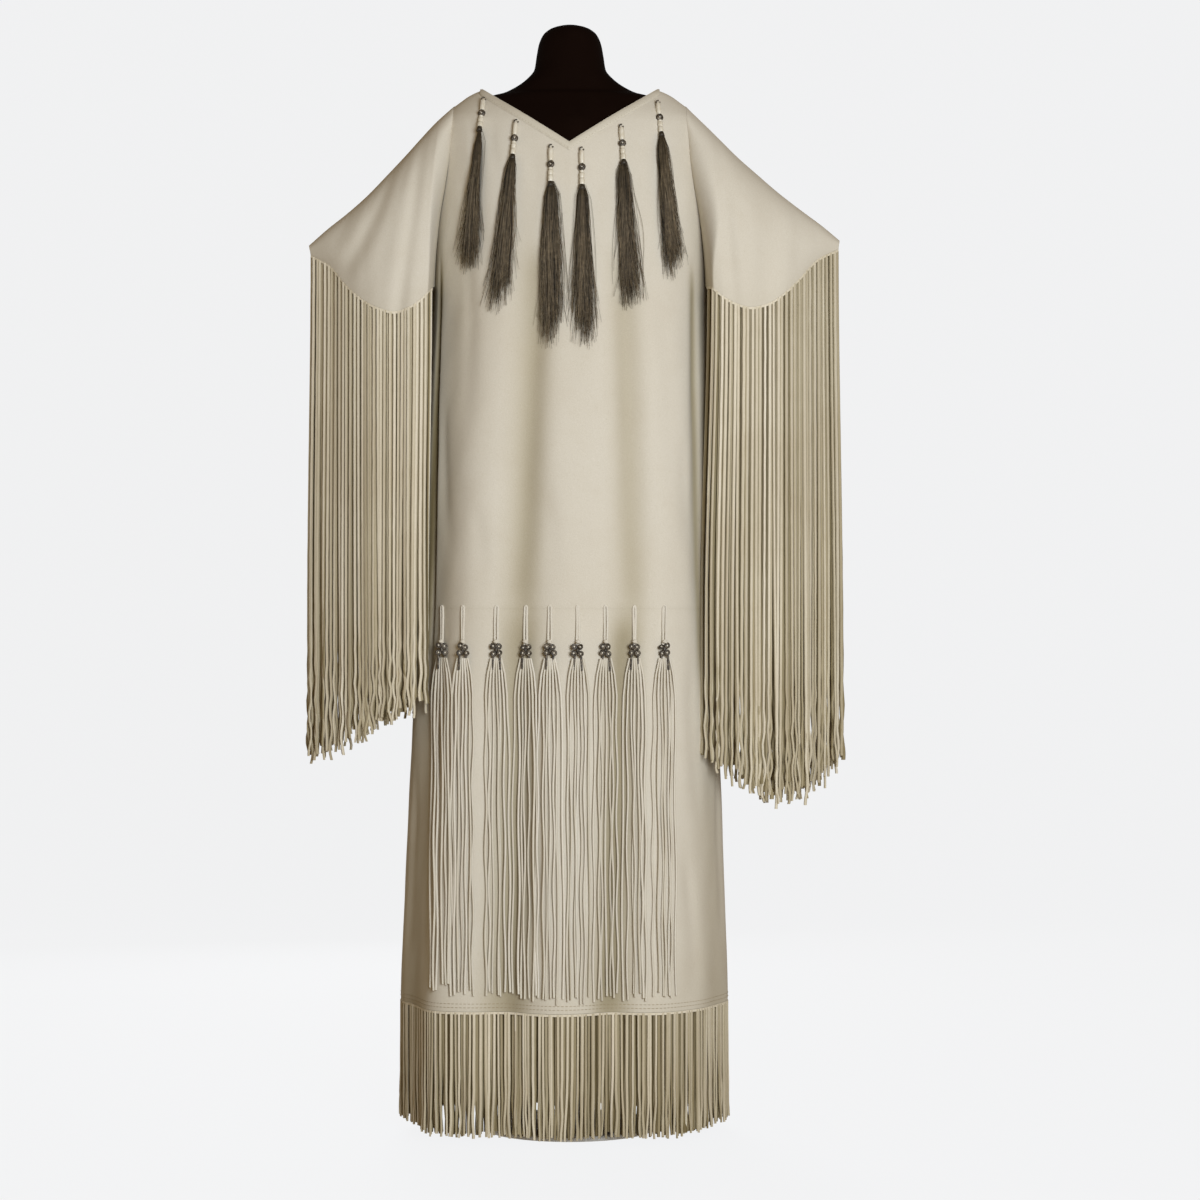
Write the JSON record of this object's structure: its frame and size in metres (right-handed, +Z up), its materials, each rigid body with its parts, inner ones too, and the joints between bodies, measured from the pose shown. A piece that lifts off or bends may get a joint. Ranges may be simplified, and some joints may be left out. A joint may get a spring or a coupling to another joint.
{
  "type": "fringed leather dress on a limbless dress form",
  "caption": "Long pale leather dress with a V neck, open cape sleeves and cut fringe, hung with thong and hair tassels, on a limbless dress form with a round stand.",
  "frame": {"origin": "middle of the underside of the stand's round plate", "axes": "+Z up, the dress faces -Y, +X towards the viewer's right"},
  "size_m": [0.742, 0.3445, 1.543],
  "materials": {
    "hide": "matte smoked-free buckskin, fine nap",
    "hide_trim": "matte, folded and stitched edge",
    "fringe_hide": "matte, cut thongs with a soft twist",
    "dark_hair": "soft sheen horsehair",
    "bone_bead": "satin bone and glass",
    "dark_bead": "dark tarnished metal beads",
    "form_cloth": "matte near-black jersey",
    "stand_metal": "satin pale grey powder coat"
  },
  "bodies": {
    "root": {"bodice_front": "hide", "neck_band_front": "hide_trim", "skirt_front": "hide", "hem_fringe_front": "fringe_hide", "bodice_back": "hide", "neck_band_back": "hide_trim", "skirt_back": "hide", "hem_fringe_back": "fringe_hide", "sleeve_left": "hide", "sleeve_fringe_left_front": "fringe_hide", "sleeve_fringe_left_back": "fringe_hide", "sleeve_right": "hide", "sleeve_fringe_right_front": "fringe_hide", "sleeve_fringe_right_back": "fringe_hide", "thong_tassel_1": "fringe_hide", "bead_cluster_1": "dark_bead", "thong_tassel_2": "fringe_hide", "bead_cluster_2": "dark_bead", "thong_tassel_3": "fringe_hide", "bead_cluster_3": "dark_bead", "thong_tassel_4": "fringe_hide", "bead_cluster_4": "dark_bead", "thong_tassel_5": "fringe_hide", "bead_cluster_5": "dark_bead", "thong_tassel_6": "fringe_hide", "bead_cluster_6": "dark_bead", "thong_tassel_7": "fringe_hide", "bead_cluster_7": "dark_bead", "thong_tassel_8": "fringe_hide", "bead_cluster_8": "dark_bead", "thong_tassel_9": "fringe_hide", "bead_cluster_9": "dark_bead", "bead_drop_1": "bone_bead", "hair_tassel_1": "dark_hair", "bead_drop_2": "bone_bead", "hair_tassel_2": "dark_hair", "bead_drop_3": "bone_bead", "hair_tassel_3": "dark_hair", "bead_drop_4": "bone_bead", "hair_tassel_4": "dark_hair", "bead_drop_5": "bone_bead", "hair_tassel_5": "dark_hair", "bead_drop_6": "bone_bead", "hair_tassel_6": "dark_hair", "torso_form": "form_cloth", "stand_pole": "stand_metal", "stand_plate": "stand_metal"}
  },
  "joints": []
}
